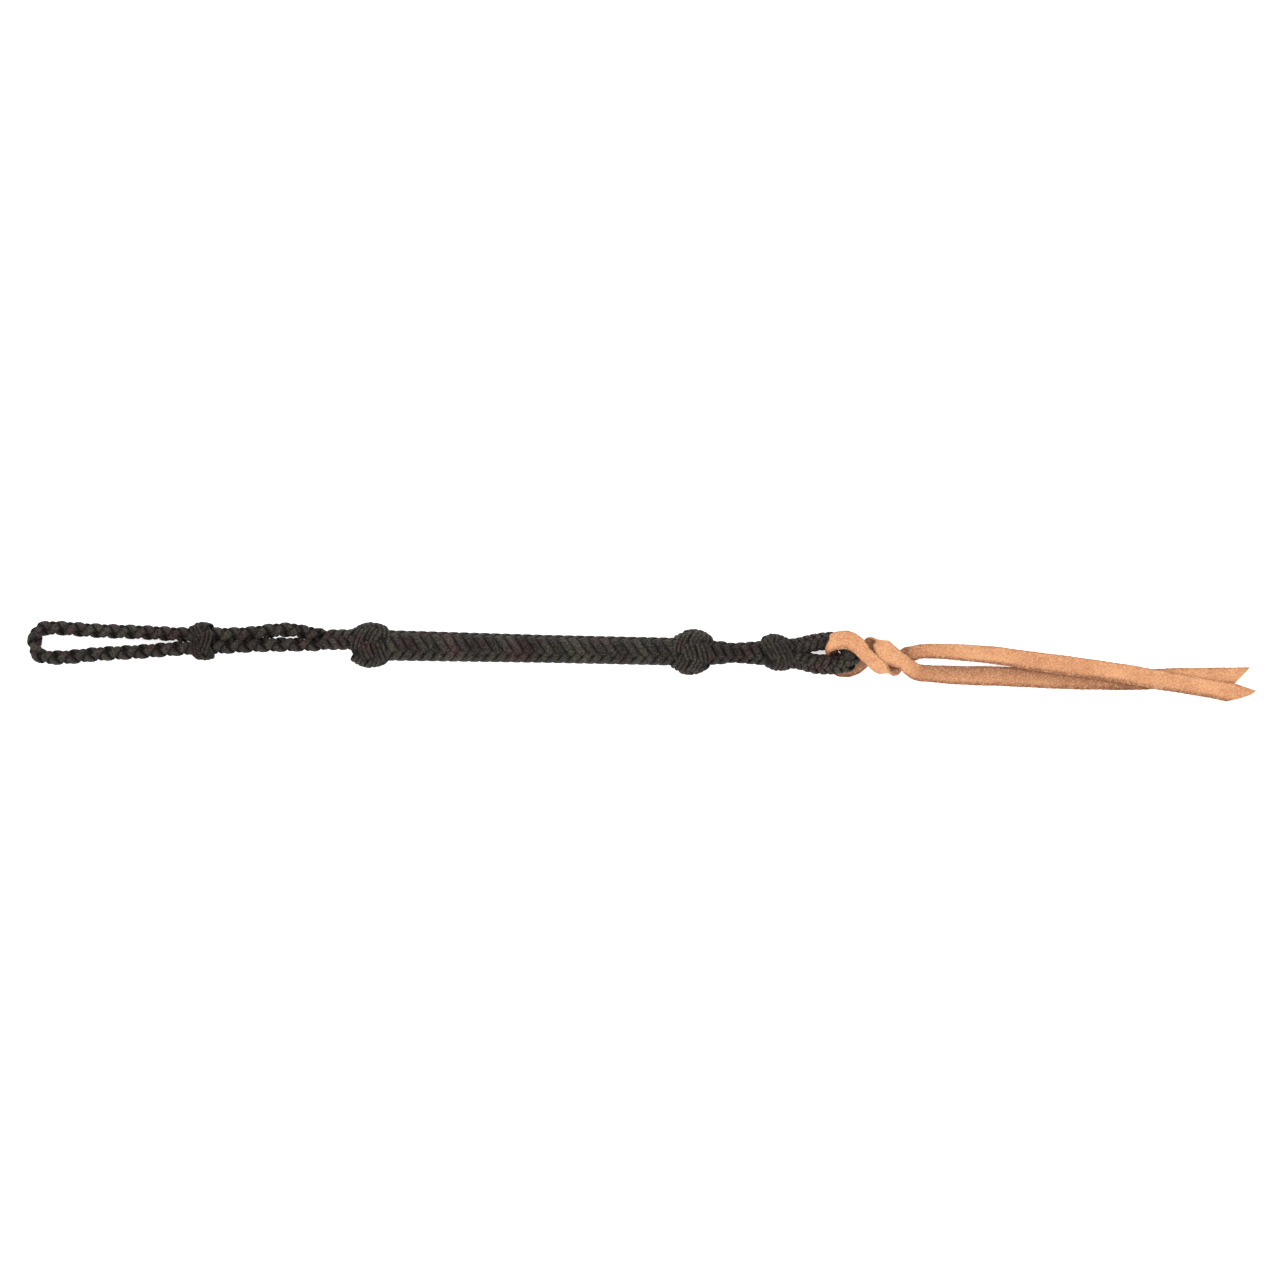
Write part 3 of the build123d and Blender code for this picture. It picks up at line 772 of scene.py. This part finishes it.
def strap_piece(name, first, last, tip=None, tip_at_start=False):
    """A piece of the leather strap, from its first station to its last. tip gives the cut end's shape: points
    across the strap, and how far short of its end it stops there, in millimetres."""
    turned = -1 if tip_at_start else 1
    s, side, normal = (table[first:last + 1][::turned] for table in (stations, strap_side, strap_normal))
    along = distances(s)
    n, m = len(s), len(ACROSS)
    grid_along = np.repeat(along[:, None], m, axis=1)
    if tip is not None:
        short = np.interp(ACROSS * turned, *tip) * MM
        run = along[-1] - TIP_RUN
        scale = (TIP_RUN - short) / TIP_RUN
        grid_along = np.where(grid_along > run, run + (grid_along - run) * scale[None], grid_along)

    def at(columns):
        """The stations' values at each point of the grid."""
        return np.stack([
            np.stack([np.interp(grid_along[:, k], along, columns[:, j]) for j in range(columns.shape[1])], axis=1)
            for k in range(m)
        ], axis=1)

    centre, side_g, normal_g = at(s[:, :3]), unit(at(side)), unit(at(normal))
    width, cup = at(s[:, 6:7])[..., 0], at(s[:, 7:8])[..., 0]
    across = ACROSS[None] * width / 2
    bend = cup / width
    bend = np.where(np.abs(bend) < LEAST_BEND, LEAST_BEND, bend)
    angle = across * bend
    skins = []
    for face in (1, -1):
        radius = 1 / bend + face * EDGE[None] * STRAP_THICKNESS / 2
        out, up = radius * np.sin(angle), radius * np.cos(angle) - 1 / bend
        skins.append((centre + side_g * out[..., None] + normal_g * up[..., None]).reshape(-1, 3))
    vertices = np.concatenate(skins)
    lower = n * m
    faces, uvs = [], []

    def quad(a, b, c, d, flip):
        order = (a, b, c, d) if not flip else (d, c, b, a)
        faces.append(order)
        for i in order:
            j = i % lower
            uvs.append((grid_along[j // m, j % m], ACROSS[j % m] * STRAP_WIDTH / 2))

    for i in range(n - 1):
        for k in range(m - 1):
            a, b, c, d = i * m + k, (i + 1) * m + k, (i + 1) * m + k + 1, i * m + k + 1
            quad(a, b, c, d, tip_at_start)
            quad(a + lower, b + lower, c + lower, d + lower, not tip_at_start)
        for k, flip in ((0, True), (m - 1, False)):
            a, b = i * m + k, (i + 1) * m + k
            quad(a, b, b + lower, a + lower, flip != tip_at_start)
    grain = np.tile(GRAIN, n)
    side_value = np.concatenate([grain, -grain])
    left = ACROSS[None] * turned
    # Painted shade from the rows: along the strap, and more of it towards the strap's left edge.
    tone = np.tile((at(s[:, 8:9]) + at(s[:, 9:10]) * left[..., None])[..., 0].reshape(-1), 2)
    # Painted shade on the strap's edge that lies towards -Y.
    low = np.tile(np.interp(-side_g[..., 1] * ACROSS[None], *LOW_EDGE).reshape(-1), 2)

    # The two ends have vertices of their own, so that the shading doesn't run round their edges.
    for i, flip in ((0, False), (n - 1, True)):
        rim = np.arange(i * m, (i + 1) * m)
        added = len(vertices)
        vertices = np.vstack([vertices, vertices[rim], vertices[rim + lower]])
        side_value = np.concatenate([side_value, np.zeros(2 * m)])
        tone = np.concatenate([tone, tone[rim], tone[rim]])
        low = np.concatenate([low, np.zeros(2 * m)])
        for k in range(m - 1):
            a, b = added + k, added + k + 1
            quad(a, b, b + m, a + m, flip != tip_at_start)
    attributes = {"side": side_value, "tone": np.clip(tone, 0, 1), "low": low}
    return make_piece(name, vertices, faces, uvs, attributes)


stations = strap_stations(front_rows + over_rows + fold_rows + under_rows + back_rows)
strap_side = unit(np.cross(unit(stations[:, 3:6]), tangents(stations)))
strap_normal = np.cross(tangents(stations), strap_side)


def station_near(row):
    target = np.array([row[0], row[1] + handle.start[1] / MM, row[2]]) * MM
    return int(np.argmin(np.linalg.norm(stations[:, :3] - target, axis=1)))


cuts = [0, *(station_near(rows[0]) for rows in (over_rows, fold_rows, under_rows, back_rows)), len(stations) - 1]
front_cut = ([-1, -0.42, 0.2, 0.56, 0.7, 0.84, 1], [18, 9.7, 3.2, 1.2, 0.4, 6, 13])
back_cut = ([-1, 1], [13.0, 1.4])

# Places for each piece's blend from one body to the next: X of the start and of the end, and Z, in metres.
FRONT_ROOT, BACK_ROOT, HITCH_ROOT = (0.170, 0.186, 0.0), (0.173, 0.189, 0.0), (0.129, 0.141, 0.008)
front_piece = strap_piece("popper_front_tail_leather", *cuts[0:2], tip=front_cut, tip_at_start=True)
over_piece = strap_piece("popper_band_over_leather", *cuts[1:3])
fold_piece = strap_piece("popper_fold_leather", *cuts[2:4])
under_piece = strap_piece("popper_band_under_leather", *cuts[3:5])
back_piece = strap_piece("popper_back_tail_leather", *cuts[4:6], tip=back_cut)
for piece, slot, node, first, second, (start_x, end_x, z) in (
    (front_piece, "leather", "popper_front_tail", "popper_hitch", "front_tail", FRONT_ROOT),
    (back_piece, "leather_back", "popper_back_tail", "popper_hitch", "back_tail", BACK_ROOT),
    (fold_piece, "leather", "popper_fold", "popper_fold", "popper_hitch", HITCH_ROOT),
):
    finish_piece(piece, leather, [node], blend=(first, second, (start_x, 0, z), (end_x, 0, z)))
for piece, node in ((over_piece, "popper_band_over"), (under_piece, "popper_band_under")):
    finish_piece(piece, leather, [node], body="popper_hitch")

# ------------------------------------------------------------------------------ CAD nodes that stay in view

for node, material in (
    ("handle_core", core_cord), ("heel_whipping", thread), ("tip_whipping", thread), ("eye_whipping", thread),
    ("heel_knot_foundation", padding), ("tip_knot_foundation", padding), ("popper_knot_foundation", padding),
):
    mesh = frame["nodes"][node].data
    mesh.materials.clear()
    mesh.materials.append(material)

# --------------------------------------------------------------------------------------- floor, light, camera

FLOOR_HALF = 6
floor_corners = [(x * FLOOR_HALF, y * FLOOR_HALF, 0) for x, y in ((-1, -1), (1, -1), (1, 1), (-1, 1))]
floor_mesh = bpy.data.meshes.new("floor")
floor_mesh.from_pydata(floor_corners, [], [(0, 1, 2, 3)])
floor = placed("floor", floor_mesh)
g = Graph("floor_paper")
paper = g.noise(g.position(), 6.0, 2)
tint = g.mix(g.ramp(paper, 0.3, 0.7), rgba([0.93] * 3), rgba([0.95] * 3))
floor_mesh.materials.append(g.finish(
    Base_Color=tint, Roughness=0.9, Specular_IOR_Level=0.1, Emission_Color=(1, 1, 1, 1), Emission_Strength=0.5
))

world = bpy.data.worlds.new("studio")
world.use_nodes = True
background = world.node_tree.nodes["Background"]
background.inputs["Color"].default_value = (1, 1, 1, 1)
background.inputs["Strength"].default_value = 1.25
bpy.context.scene.world = world


def area_light(name, place, size, power):
    """A round light that shines at the origin."""
    light = bpy.data.lights.new(name, "AREA")
    light.shape, light.size, light.energy = "DISK", size, power
    holder = placed(name, light)
    holder.location = place
    holder.rotation_euler = (-Vector(place)).to_track_quat("-Z", "Y").to_euler()


area_light("key", (-0.4, 0.7, 1.9), size=1.4, power=15)
area_light("fill", (0.7, -0.8, 1.9), size=1.6, power=7)

# The camera looks straight down, and sees FRAME_WIDTH at SEEN_HEIGHT.
FRAME_WIDTH, SEEN_HEIGHT, LENS, SENSOR = 0.795, 0.010, 100.0, 36.0
PICTURE_TURN = math.radians(1.25)  # the handle isn't quite level in the photo
CAMERA_X, CAMERA_SIDE = -0.0003, 0.00674  # CAMERA_SIDE is beside the handle's centre line
camera_data = bpy.data.cameras.new("camera")
camera_data.lens, camera_data.sensor_width = LENS, SENSOR
camera = placed("camera", camera_data)
camera.location = (CAMERA_X, handle.start[1] + CAMERA_SIDE, FRAME_WIDTH * LENS / SENSOR + SEEN_HEIGHT)
camera.rotation_euler = (0, 0, PICTURE_TURN)
bpy.context.scene.camera = camera
bpy.context.scene.view_settings.view_transform = "Standard"
